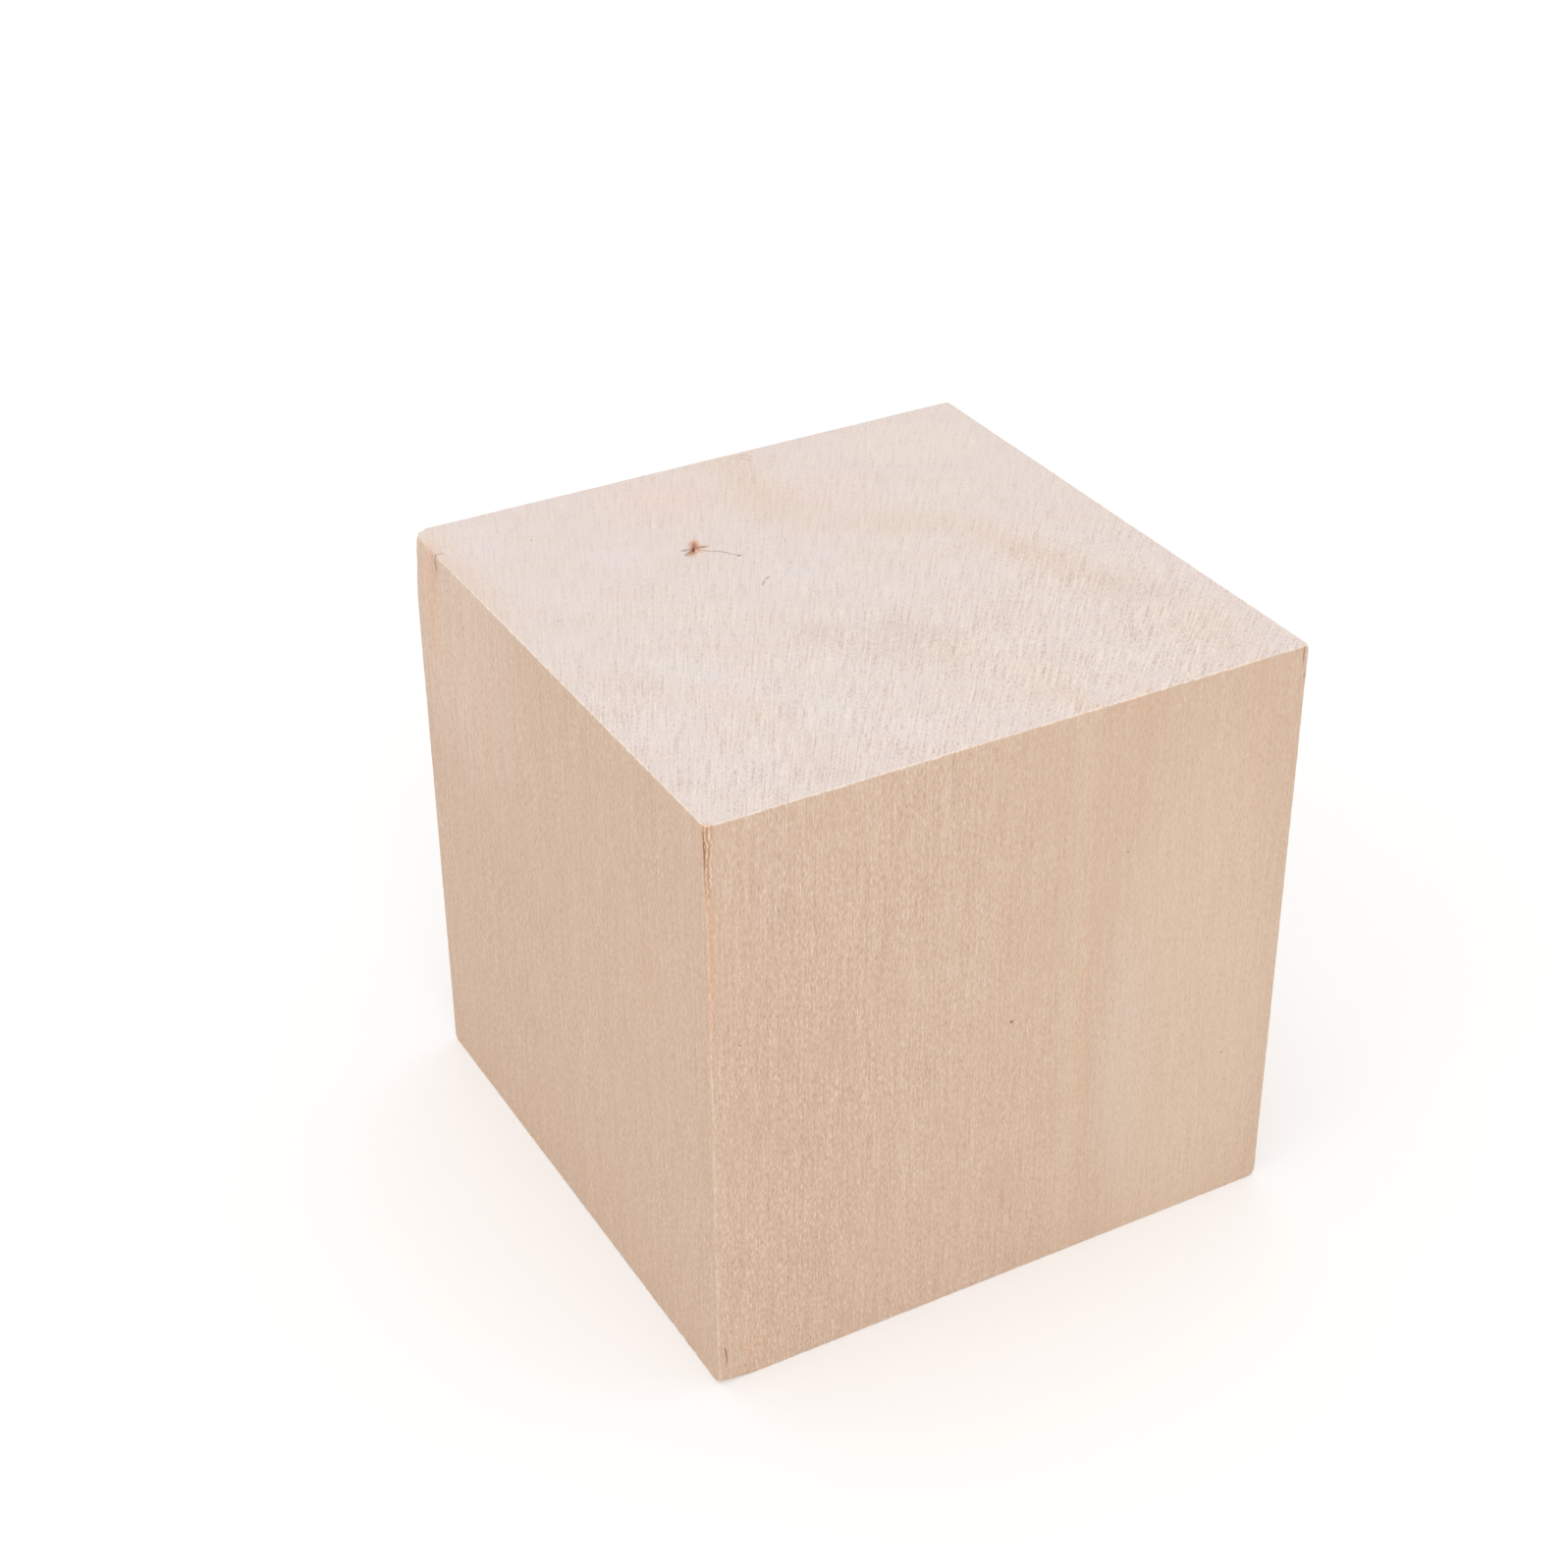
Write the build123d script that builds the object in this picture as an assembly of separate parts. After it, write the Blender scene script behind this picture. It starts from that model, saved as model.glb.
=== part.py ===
from build123d import *
from dataclasses import dataclass
import os

# A sawn wooden cube: one piece of pale, close-grained hardwood, cut square on all six sides.
#
# Frame, in millimetres: +Z is up and runs along the grain, so the top and the bottom are end grain.
# -Y is the front side, -X the left side. The origin is the middle of the bottom face.
#
# The faces are flat. What handling, the saw and drying have done to the block is cut into them:
# eased arrises, worn corners, and V-shaped cracks, the longest of them beside a pin knot on the top.

# ---------------------------------------------------------------- driving dimensions
width = 100.0  # along X
depth = 100.0  # along Y
height = 100.0  # along Z, with the grain

upright_ease = 0.30  # radius of the four arrises that run with the grain
rim_ease = 0.20  # radius of the eight arrises round the two end-grain faces

knot_from_left = 36.1  # middle of the pin knot on the top, measured from the left side
knot_from_back = 27.5  # and from the back side
knot_length = 2.4  # the knot's sunken heart, drawn out along the rays of the wood
knot_width = 0.9
knot_sink = 0.45  # how deep the heart has shrunk below the face
ray_direction = 60.0  # which way the rays run there, in degrees from +X

crack_mouth = 0.22  # a crack's width at the surface
crack_depth = 0.80  # how far it reaches in

overrun = 1.0  # how far a cutter stands out of the face that it opens


@dataclass(frozen=True)
class WornCorner:
    """A corner worn or torn off flat: which corner it is, and how far the wear reaches along each arris."""

    side_x: int  # -1 left, 1 right
    side_y: int  # -1 front, 1 back
    side_z: int  # -1 bottom, 1 top
    along_x: float
    along_y: float
    along_z: float


worn_corners = (
    # The back left arris is rubbed away towards the top.
    WornCorner(side_x=-1, side_y=1, side_z=1, along_x=1.1, along_y=2.1, along_z=9.0),
    # The front arris has torn with the grain, so this one is a long sliver.
    WornCorner(side_x=-1, side_y=-1, side_z=1, along_x=1.2, along_y=0.6, along_z=16.0),
    WornCorner(side_x=1, side_y=-1, side_z=1, along_x=0.6, along_y=0.6, along_z=0.7),
    WornCorner(side_x=1, side_y=1, side_z=1, along_x=0.4, along_y=0.4, along_z=0.5),
    # The front bottom corner is knocked off low along the front side.
    WornCorner(side_x=-1, side_y=-1, side_z=-1, along_x=4.0, along_y=1.6, along_z=1.1),
    WornCorner(side_x=1, side_y=-1, side_z=-1, along_x=1.3, along_y=1.3, along_z=1.5),
    WornCorner(side_x=-1, side_y=1, side_z=-1, along_x=0.6, along_y=0.6, along_z=0.6),
    WornCorner(side_x=1, side_y=1, side_z=-1, along_x=0.6, along_y=0.6, along_z=0.6),
)

# Two cracks in the left side, open at the top, and a split in the front side
front_crack_inset = 0.9  # from the front side, along the torn front arris
front_crack_length = 7.9
back_crack_inset = 9.3  # from the back side
back_crack_length = 5.0
back_crack_over_top = 1.6  # it turns over the arris and runs on this far across the top,
back_crack_drift = 0.3  # ending this much nearer the front
foot_crack_inset = 1.1  # from the left side, at the foot of the front arris
foot_crack_low = 2.4  # its lower and upper end, above the bottom
foot_crack_high = 8.0

# The check that runs from the knot towards the front right, as offsets from the knot's middle
knot_check_offsets = (
    (0.4, -0.6),
    (1.4, -1.9),
    (2.5, -2.6),
    (3.4, -3.3),
    (4.1, -4.5),
    (5.0, -5.7),
    (5.3, -6.7),
)
# The knot's own star of short cracks: each arm's length and its direction from +X, in degrees
knot_arms = ((2.1, 60.0), (1.5, 171.0), (2.3, 218.0), (2.1, 241.0), (1.5, 344.0))

left = -width / 2
front = -depth / 2
back = depth / 2

to_left = Vector(-1, 0, 0)
to_front = Vector(0, -1, 0)
upward = Vector(0, 0, 1)


# ---------------------------------------------------------------- the block and its corners
def eased_block():
    """The sawn block with every arris eased: first the upright ones, then the rims of both ends."""
    block = Box(width, depth, height, align=(Align.CENTER, Align.CENTER, Align.MIN))
    block = fillet(block.edges().filter_by(Axis.Z), upright_ease)
    rims = block.edges().group_by(Axis.Z)[0] + block.edges().group_by(Axis.Z)[-1]
    return fillet(rims, rim_ease)


def wear_corner(block, corner):
    """Cuts a corner off along the plane through the ends of its wear on the three arrises."""
    tip = Vector(corner.side_x * width / 2, corner.side_y * depth / 2, height if corner.side_z > 0 else 0.0)
    outward = Vector(
        corner.side_x / corner.along_x,
        corner.side_y / corner.along_y,
        corner.side_z / corner.along_z,
    )
    on_plane = tip - Vector(corner.side_x * corner.along_x, 0, 0)
    return split(block, bisect_by=Plane(origin=on_plane, z_dir=outward), keep=Keep.BOTTOM)


# ---------------------------------------------------------------- cracks
def crack(route, outward, mouth=crack_mouth, reach=crack_depth):
    """A V-shaped crack in a flat face, as a solid to cut away.

    route holds points on the face. The crack is closed at its first and last point, and at each point
    between them it is mouth wide and reaches that far in. outward is the face's normal.
    """
    points = [Vector(*point) for point in route]
    lip_half_width = mouth / 2 * (reach + overrun) / reach
    sections = []
    for before, here, after in zip(points, points[1:], points[2:]):
        across = (after - before).normalized().cross(outward) * lip_half_width
        lip = here + outward * overrun
        root = here - outward * reach
        sections.append(Wire.make_polygon([lip + across, lip - across, root]))
    return Solid.make_loft([Vertex(*points[0]), *sections, Vertex(*points[-1])], ruled=True)


def crack_down_left_side(y, length):
    """A crack in the left side that is open at the top and closes to nothing length below it."""
    return crack([(left, y, height - length * share) for share in (-1, 0, 0.5, 1)], to_left)


def front_arris_crack():
    """The crack where the torn front arris has lifted from the block."""
    return crack_down_left_side(front + front_crack_inset, front_crack_length)


def back_arris_crack():
    """The crack near the worn back arris."""
    return crack_down_left_side(back - back_crack_inset, back_crack_length)


def back_arris_crack_over_top():
    """The same crack's short run across the top. It starts outside the block, so it is open at the arris."""
    y = back - back_crack_inset
    shares = (-1, 0, 0.5, 1)
    route = [(left + back_crack_over_top * share, y - back_crack_drift * share, height) for share in shares]
    return crack(route, upward)


def foot_crack():
    """The short split at the foot of the front arris, in the front side."""
    x = left + foot_crack_inset
    middle = (foot_crack_low + foot_crack_high) / 2
    return crack([(x, front, z) for z in (foot_crack_high, middle, foot_crack_low)], to_front)


# ---------------------------------------------------------------- the pin knot
knot_middle = Vector(left + knot_from_left, back - knot_from_back, height)


def from_knot(reach, direction):
    """The point on the top at that distance and direction from the knot's middle."""
    return knot_middle + Vector(reach, 0, 0).rotate(Axis.Z, direction)


def knot_heart():
    """The knot's shrunken heart: a hollow shaped like a boat."""
    half = knot_length / 2
    route = [from_knot(reach, ray_direction) for reach in (-half, 0, half)]
    return crack(route, upward, mouth=knot_width, reach=knot_sink)


def knot_arm(length, direction):
    """One short crack of the knot's star. It starts inside the heart, just past its middle."""
    return crack([from_knot(reach, direction) for reach in (-knot_width / 4, 0, length / 2, length)], upward)


def knot_check():
    """The long curved check that leaves the knot."""
    return crack([knot_middle + Vector(x, y, 0) for x, y in knot_check_offsets], upward)


# ---------------------------------------------------------------- the finished cube
def wooden_cube():
    """The whole cube: one solid."""
    cube = eased_block()
    for corner in worn_corners:
        cube = wear_corner(cube, corner)
    for cutter in (front_arris_crack(), back_arris_crack(), back_arris_crack_over_top(), foot_crack()):
        cube = cube - cutter
    cube = cube - knot_heart() - knot_check()
    for length, direction in knot_arms:
        cube = cube - knot_arm(length, direction)
    return cube.solid()


cube = wooden_cube()
cube.label = "wooden_cube"
os.makedirs("parts", exist_ok=True)
export_step(cube, "parts/wooden_cube.step")
print(f"wooden_cube: {cube.volume / 1000:.2f} cm3, size {cube.bounding_box().size}")
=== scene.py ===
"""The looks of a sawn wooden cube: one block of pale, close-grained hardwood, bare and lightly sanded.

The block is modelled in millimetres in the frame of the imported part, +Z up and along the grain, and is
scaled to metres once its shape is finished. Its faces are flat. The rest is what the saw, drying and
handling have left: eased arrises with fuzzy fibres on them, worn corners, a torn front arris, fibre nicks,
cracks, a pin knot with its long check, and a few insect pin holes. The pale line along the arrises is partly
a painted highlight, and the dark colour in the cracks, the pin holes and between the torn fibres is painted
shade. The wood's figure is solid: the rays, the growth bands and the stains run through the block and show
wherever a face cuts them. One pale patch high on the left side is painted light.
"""

import logging
import math
from dataclasses import dataclass
from enum import Enum
from typing import Callable, Iterable, Sequence

import bmesh
import bpy
from mathutils import Color, Euler, Matrix, Vector, geometry, noise


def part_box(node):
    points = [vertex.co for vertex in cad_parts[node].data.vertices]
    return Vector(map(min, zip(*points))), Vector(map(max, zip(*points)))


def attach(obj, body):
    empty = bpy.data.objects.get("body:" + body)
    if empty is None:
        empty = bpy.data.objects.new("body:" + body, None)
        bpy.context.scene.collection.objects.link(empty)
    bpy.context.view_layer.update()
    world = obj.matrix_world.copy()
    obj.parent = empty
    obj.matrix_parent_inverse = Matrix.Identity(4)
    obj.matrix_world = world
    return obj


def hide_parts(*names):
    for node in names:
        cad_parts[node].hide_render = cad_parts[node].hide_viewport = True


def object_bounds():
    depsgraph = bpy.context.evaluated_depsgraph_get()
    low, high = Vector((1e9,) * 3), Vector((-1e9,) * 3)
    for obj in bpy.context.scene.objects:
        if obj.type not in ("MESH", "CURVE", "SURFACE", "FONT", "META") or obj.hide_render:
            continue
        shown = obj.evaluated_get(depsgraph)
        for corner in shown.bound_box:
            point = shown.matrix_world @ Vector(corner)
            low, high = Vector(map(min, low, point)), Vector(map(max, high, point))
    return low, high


MM = 0.001  # one millimetre, in metres

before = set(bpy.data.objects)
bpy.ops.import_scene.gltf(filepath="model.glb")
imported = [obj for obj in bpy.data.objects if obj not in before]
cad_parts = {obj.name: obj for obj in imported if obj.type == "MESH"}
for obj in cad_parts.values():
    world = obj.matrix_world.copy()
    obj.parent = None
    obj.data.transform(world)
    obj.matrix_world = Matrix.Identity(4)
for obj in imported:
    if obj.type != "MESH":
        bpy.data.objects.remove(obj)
cad_low, cad_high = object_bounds()
log = logging.getLogger("wooden_cube")


# ------------------------------------------------------------------------------- small helpers
class Side(Enum):
    """A side of the block, by the way that it faces."""

    LEFT = (-1, 0, 0)
    RIGHT = (1, 0, 0)
    FRONT = (0, -1, 0)
    BACK = (0, 1, 0)
    BOTTOM = (0, 0, -1)
    TOP = (0, 0, 1)

    @property
    def outward(self) -> Vector:
        """The side's outward normal."""
        return Vector(self.value)

    @property
    def axis(self) -> int:
        """The axis that the side is square to: 0 for X, 1 for Y and 2 for Z."""
        return [abs(part) for part in self.value].index(1)


def smooth_step(value: float, low: float, high: float) -> float:
    """Rises smoothly from 0 at low to 1 at high.

    Args:
        value: The number to place between the two.
        low: Where the rise starts.
        high: Where it ends. It may be less than low, and then the result falls.

    Returns:
        The share, from 0 to 1.
    """
    share = min(max((value - low) / (high - low), 0.0), 1.0)
    return share * share * (3.0 - 2.0 * share)


def wander(*place: float) -> float:
    """Smooth noise from about -1 to 1 at a place, the same on every run."""
    return noise.noise(Vector((*place, 0.0, 0.0)[:3]))


# ------------------------------------------------------------------------------- the block's wear
@dataclass(frozen=True)
class WornCorner:
    """A corner rubbed or knocked off.

    Attributes:
        sides: Which corner it is: -1 or 1 along each axis.
        reach: How far the wear reaches along each of the corner's three arrises, in millimetres.
        roundness: How softly the wear runs out into the faces, in millimetres.
        roughness: How uneven the worn surface is, in millimetres.
    """

    sides: tuple[int, int, int]
    reach: tuple[float, float, float]
    roundness: float = 0.25
    roughness: float = 0.08

    def wear(self, point: Vector, low: Vector, high: Vector) -> tuple[Vector, float]:
        """Presses a point back to the worn surface.

        Args:
            point: A point on the block.
            low: The block's lowest corner.
            high: The block's highest corner.

        Returns:
            The point after the wear, and how worn the wood is there, from 0 to 1.
        """
        tip = Vector(high[i] if self.sides[i] > 0 else low[i] for i in range(3))
        outward = Vector(self.sides[i] / self.reach[i] for i in range(3)).normalized()
        on_plane = tip - Vector((self.sides[0] * self.reach[0], 0.0, 0.0))
        height = (point - on_plane).dot(outward)
        if height < -self.roundness:
            return point, 0.0
        height += self.roughness * wander(point.x * 1.6, point.y * 1.6, point.z * 0.7)
        pressed = max(height + self.roundness, 0.0)
        depth = pressed * pressed / (pressed + 2.0 * self.roundness)
        return point - outward * depth, smooth_step(depth, 0.0, 0.4)


@dataclass(frozen=True)
class Crack:
    """A V-shaped crack that runs over one face.

    Attributes:
        side: The face that it opens.
        route: Its points on the face, in millimetres.
        width: Its width at the surface.
        depth: How far in it reaches.
        wobble: How far it wavers from the straight line between its points.
        open_start: True where it runs out over an arris at its first point, and so doesn't close there.
    """

    side: Side
    route: tuple[tuple[float, float, float], ...]
    width: float
    depth: float
    wobble: float = 0.0
    open_start: bool = False

    def nearest(self, point: Vector) -> tuple[float, float]:
        """Finds how far a point is from the crack, and where along it.

        Args:
            point: A point on the crack's face.

        Returns:
            The distance in millimetres, and the share of the crack's length, from 0 to 1.
        """
        points = [Vector(place) for place in self.route]
        lengths = [(b - a).length for a, b in zip(points, points[1:])]
        best, along, travelled = 1e9, 0.0, 0.0
        for start, end, length in zip(points, points[1:], lengths):
            foot, share = geometry.intersect_point_line(point, start, end)
            share = min(max(share, 0.0), 1.0)
            gap = (start.lerp(end, share) - point).length
            if gap < best:
                best, along = gap, travelled + share * length
            travelled += length
        return best, along / travelled

    def open_up(self, point: Vector, square: Vector) -> tuple[Vector, float]:
        """Pushes a point of the face down into the crack.

        Args:
            point: The point where the wear so far has brought it.
            square: The same point before any wear, on the flat face.

        Returns:
            The point after the crack has opened, and how deep in the crack it is, from 0 to 1.
        """
        shift = self.wobble * wander(square.x * 0.9 + 7.0, square.y * 0.9, square.z * 0.9)
        sideways = Vector((0.0, shift, 0.0)) if self.side.axis == 0 else Vector((shift, 0.0, 0.0))
        gap, along = self.nearest(square + sideways)
        taper = smooth_step(along, 1.0, 0.55)
        if not self.open_start:
            taper *= smooth_step(along, 0.0, 0.18)
        half = self.width / 2 * (0.35 + 0.65 * taper)
        if gap >= half or taper <= 0.0:
            return point, 0.0
        share = (1.0 - gap / half) * taper
        return point - self.side.outward * self.depth * share, min(share * 1.6, 1.0)


@dataclass(frozen=True)
class PinHole:
    """A round hole that an insect or a lost pin knot has left in a face.

    Attributes:
        side: The face that it is in.
        centre: Its middle, in millimetres.
        radius: Its radius.
        depth: Its depth at the middle.
    """

    side: Side
    centre: tuple[float, float, float]
    radius: float
    depth: float = 0.45

    def open_up(self, point: Vector, square: Vector) -> tuple[Vector, float]:
        """Pushes a point of the face down into the hole.

        Args:
            point: The point where the wear so far has brought it.
            square: The same point before any wear, on the flat face.

        Returns:
            The point after the hole has opened, and how deep in the hole it is, from 0 to 1.
        """
        share = smooth_step((square - Vector(self.centre)).length, self.radius, self.radius * 0.3)
        return point - self.side.outward * self.depth * share, share


@dataclass(frozen=True)
class NickedRun:
    """A stretch of arris where short bundles of fibre have broken out.

    Attributes:
        start: The point of the arris where the nicks start, in millimetres.
        end: The point where they end.
        depth: The deepest nick.
        spacing: About how far apart the nicks are.
        rub: How much rounder the whole stretch is rubbed besides.
    """

    start: tuple[float, float, float]
    end: tuple[float, float, float]
    depth: float
    spacing: float
    rub: float = 0.0

    def added_ease(self, point: Vector) -> float:
        """How much rounder the nicks make the arris beside a point, in millimetres."""
        start, end = Vector(self.start), Vector(self.end)
        foot, share = geometry.intersect_point_line(point, start, end)
        if not 0.0 <= share <= 1.0 or (foot - point).length > 2.0 * (self.depth + self.rub) + 0.4:
            return 0.0
        along = (foot - start).length
        bite = wander(along / self.spacing, 3.7) + 0.5 * wander(along / self.spacing * 2.7, 9.1)
        run_out = smooth_step(share, 0.0, 0.12) * smooth_step(share, 1.0, 0.8)
        return (self.rub + self.depth * smooth_step(bite, 0.0, 0.55)) * run_out


@dataclass(frozen=True)
class TornArris:
    """The front arris where the wood has torn along the grain, and has left its fibres standing.

    Attributes:
        on_front: How wide the tear is on the front side, at the top.
        on_left: How wide it is on the left side, at the top.
        length: How far it runs down the arris.
        depth: How deep it is at its middle.
        fibre: How wide one bundle of fibre is.
    """

    on_front: float = 1.25
    on_left: float = 0.75
    length: float = 16.5
    depth: float = 0.34
    fibre: float = 0.72

    def tear(self, point: Vector, square: Vector, low: Vector, high: Vector) -> tuple[Vector, float, float]:
        """Presses a point back to the torn fibres.

        Args:
            point: The point where the wear so far has brought it.
            square: The same point before any wear.
            low: The block's lowest corner.
            high: The block's highest corner.

        Returns:
            The point after the tear, how deep between two fibres it is, and how far it is on a fibre's
            crest, the last two from 0 to 1.
        """
        from_left, from_front, down = square.x - low.x, square.y - low.y, high.z - square.z
        if down > self.length or min(from_left, from_front) > 1e-4:
            return point, 0.0, 0.0
        run_out = smooth_step(down, self.length, self.length * 0.45)
        uneven = 1.0 + 0.3 * wander(down * 0.45, 21.0) + 0.15 * wander(down * 1.7, 4.0)
        reach = (self.on_front if from_front < 1e-4 else self.on_left) * uneven * (0.3 + 0.7 * run_out)
        across = max(from_left, from_front) / reach
        if across >= 1.0:
            return point, 0.0, 0.0
        place = from_left - from_front
        sway = 0.42 * wander(down * 0.42, 1.3) + 0.26 * wander(down * 1.15, 8.2)
        turn = 2.0 * math.pi * (place + sway) / self.fibre
        split = wander(place * 1.4, down * 0.5, 5.5)
        crest = 0.5 + 0.5 * math.cos(turn + 1.6 * split)
        body = 1.0 - across**3
        cut = self.depth * run_out * body * (0.35 + 0.65 * (1.0 - crest))
        inward = Vector((1.0, 1.0, 0.0)).normalized()
        gap = (1.0 - crest) ** 2 * body * run_out
        return point + inward * cut, gap, crest * body * run_out


@dataclass(frozen=True)
class Patch:
    """A part of the surface that needs a finer mesh.

    Attributes:
        low: Its lowest corner, in millimetres.
        high: Its highest corner.
        spacing: The longest edge that it may keep along each axis, or 0 to leave that axis alone.
    """

    low: tuple[float, float, float]
    high: tuple[float, float, float]
    spacing: tuple[float, float, float]

    def holds(self, point: Vector) -> bool:
        """Whether the patch holds a point."""
        slack = 1e-4
        return all(a - slack <= p <= b + slack for a, p, b in zip(self.low, point, self.high))


# ------------------------------------------------------------------------------- the block
@dataclass
class WoodBlock:
    """The block itself, from a plain box to the finished, worn mesh.

    Attributes:
        low: Its lowest corner, in millimetres.
        high: Its highest corner.
        upright_ease: The radius of the arrises that run with the grain.
        rim_ease: The radius of the arrises round the two end-grain faces.
        unevenness: How much the ease varies along an arris, as a share of it.
        upright_fuzz_and_highlight: How much fuzzy fibre and painted highlight the upright arrises have, as a share of
            the rims'.
        insets: Where the mesh is cut beside each arris, measured from it.
        pitch: About how long the mesh's squares are on the open faces.
        strip: How far from an arris the mesh is fine along it.
        fine: The spacing of the mesh along an arris.
    """

    low: Vector
    high: Vector
    upright_ease: float = 0.30
    rim_ease: float = 0.22
    unevenness: float = 0.45
    upright_fuzz_and_highlight: float = 0.4
    insets: tuple[float, ...] = (0.10, 0.20, 0.32, 0.48, 0.70, 1.0, 1.4, 2.0, 3.0, 4.5)
    pitch: float = 2.6
    strip: float = 1.0
    fine: float = 0.31

    def __post_init__(self) -> None:
        """Places the wear on this block's own corners, arrises and faces."""
        left, front, bottom = self.low
        right, back, top = self.high
        self.corners = (
            WornCorner((-1, 1, 1), (1.5, 1.8, 10.5), roundness=0.4, roughness=0.10),
            WornCorner((1, -1, 1), (0.5, 0.5, 0.6)),
            WornCorner((1, 1, 1), (0.4, 0.4, 0.5)),
            WornCorner((-1, -1, -1), (5.5, 1.6, 1.1), roundness=0.3),
            WornCorner((1, -1, -1), (0.9, 0.9, 1.1), roundness=0.3),
            WornCorner((-1, 1, -1), (0.7, 0.7, 0.7)),
            WornCorner((1, 1, -1), (0.6, 0.6, 0.7)),
            WornCorner((-1, -1, 1), (0.9, 0.6, 0.7), roundness=0.2),
        )
        self.torn = TornArris()
        self.nicks = (
            NickedRun((left, front + 3.0, bottom), (left, front + 19.0, bottom), depth=0.60, spacing=1.7),
            NickedRun((left, front + 26.0, bottom), (left, back - 8.0, bottom), depth=0.14, spacing=2.2),
            NickedRun((left + 4.0, front, bottom), (right - 6.0, front, bottom), depth=0.12, spacing=1.9),
            NickedRun((left + 2.0, front, top), (right - 3.0, front, top), depth=0.10, spacing=1.3),
            NickedRun((left, front + 2.0, top), (left, back - 11.0, top), depth=0.12, spacing=1.4),
            NickedRun((right, front + 2.0, top), (right, back - 2.0, top), depth=0.16, spacing=1.7),
            NickedRun((left + 3.0, back, top), (right - 2.0, back, top), depth=0.12, spacing=2.1),
            NickedRun((right, front + 5.0, bottom), (right, back - 6.0, bottom), depth=0.22, spacing=1.8),
            NickedRun((left + 5.0, back, bottom), (right - 5.0, back, bottom), depth=0.18, spacing=2.0),
            NickedRun((left, back - 10.5, top), (left, back + 9.0, top), depth=0.08, spacing=3.0, rub=0.75),
        )
        self.cracks = (*self.arris_cracks(), *self.knot_cracks())
        self.holes = tuple(
            PinHole(Side.FRONT, (x, front, z), radius)
            for x, z, radius in (
                (0.3, 49.6, 0.36),
                (-8.4, 45.6, 0.20),
                (-45.4, 62.4, 0.18),
                (19.6, 73.6, 0.18),
                (-38.0, 16.3, 0.18),
                (40.7, 28.8, 0.20),
            )
        ) + tuple(
            PinHole(Side.TOP, (x, y, top), radius)
            for x, y, radius in ((-34.8, 37.7, 0.22), (-42.4, 11.5, 0.18), (-8.9, 16.8, 0.24))
        )

    def arris_cracks(self) -> tuple[Crack, ...]:
        """The cracks beside the two left arrises, at the foot of the front one and at the right one's top."""
        left, front, bottom = self.low
        right, back, top = self.high
        split = back - 9.3  # beside the worn back arris
        lifted = front + 0.62  # where the torn arris has lifted
        foot = left + 1.1
        return (
            Crack(Side.LEFT, ((left, split, top), (left, split, top - 3.6)), 0.72, 0.9, 0.12, open_start=True),
            Crack(Side.TOP, ((left, split, top), (left + 1.9, split - 0.4, top)), 0.26, 0.5, open_start=True),
            Crack(Side.LEFT, ((left, lifted, top - 0.3), (left, lifted - 0.1, top - 8.6)), 0.56, 0.5, 0.22),
            Crack(Side.FRONT, ((foot, front, 8.0), (foot + 0.3, front, 2.2)), 0.18, 0.25, 0.25),
            Crack(Side.FRONT, ((right - 0.9, front, top), (right - 0.8, front, top - 3.5)), 0.22, 0.5, open_start=True),
        )

    def knot_cracks(self) -> tuple[Crack, ...]:
        """The pin knot's shrunken heart, the short cracks round it and the long check that leaves it."""
        top = self.high.z
        heart = Vector((self.low.x + 36.1, self.high.y - 27.5, top))
        ray = math.radians(60.0)
        half = Vector((math.cos(ray), math.sin(ray), 0.0)) * 1.25

        def arm(length: float, degrees: float, width: float, depth: float) -> Crack:
            """One short crack that starts in the heart and points that way."""
            turn = math.radians(degrees)
            tip = heart + Vector((math.cos(turn), math.sin(turn), 0.0)) * length
            return Crack(Side.TOP, (tuple(heart), tuple(tip)), width, depth, open_start=True)

        check = ((0.4, -0.6), (1.4, -1.9), (2.5, -2.6), (3.4, -3.3), (4.1, -4.5), (5.0, -5.7), (5.3, -6.7))
        route = tuple((heart.x + x, heart.y + y, top) for x, y in check)
        return (
            Crack(Side.TOP, (tuple(heart - half), tuple(heart), tuple(heart + half)), 0.42, 0.25),
            Crack(Side.TOP, route, 0.28, 0.4, 0.05, open_start=True),
            arm(1.9, 171.0, 0.34, 0.4),
            arm(2.3, 218.0, 0.30, 0.3),
            arm(2.1, 241.0, 0.24, 0.25),
            arm(1.7, 344.0, 0.30, 0.3),
        )

    # ---------------------------------------------------------------- mesh density
    def stations(self, axis: int) -> list[float]:
        """Where the mesh is cut across one axis.

        Args:
            axis: 0 for X, 1 for Y and 2 for Z.

        Returns:
            The places of the cuts, in millimetres, fine beside the arrises and even between them.
        """
        start, end = self.low[axis], self.high[axis]
        near = [start + inset for inset in self.insets]
        far = [end - inset for inset in self.insets]
        count = round((far[-1] - near[-1]) / self.pitch)
        step = (far[-1] - near[-1]) / count
        return near + [near[-1] + step * i for i in range(1, count)] + far

    def arris_strips(self) -> list[Patch]:
        """The twelve strips along the arrises, with a fine mesh along them."""
        strips = []
        for axis in range(3):
            one, other = (i for i in range(3) if i != axis)
            for high_one in (False, True):
                for high_other in (False, True):
                    low, high = list(self.low), list(self.high)
                    for i, at_high in ((one, high_one), (other, high_other)):
                        if at_high:
                            low[i] = self.high[i] - self.strip
                        else:
                            high[i] = self.low[i] + self.strip
                    spacing = [0.0, 0.0, 0.0]
                    spacing[axis] = self.fine
                    strips.append(Patch(tuple(low), tuple(high), tuple(spacing)))
        return strips

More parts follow.
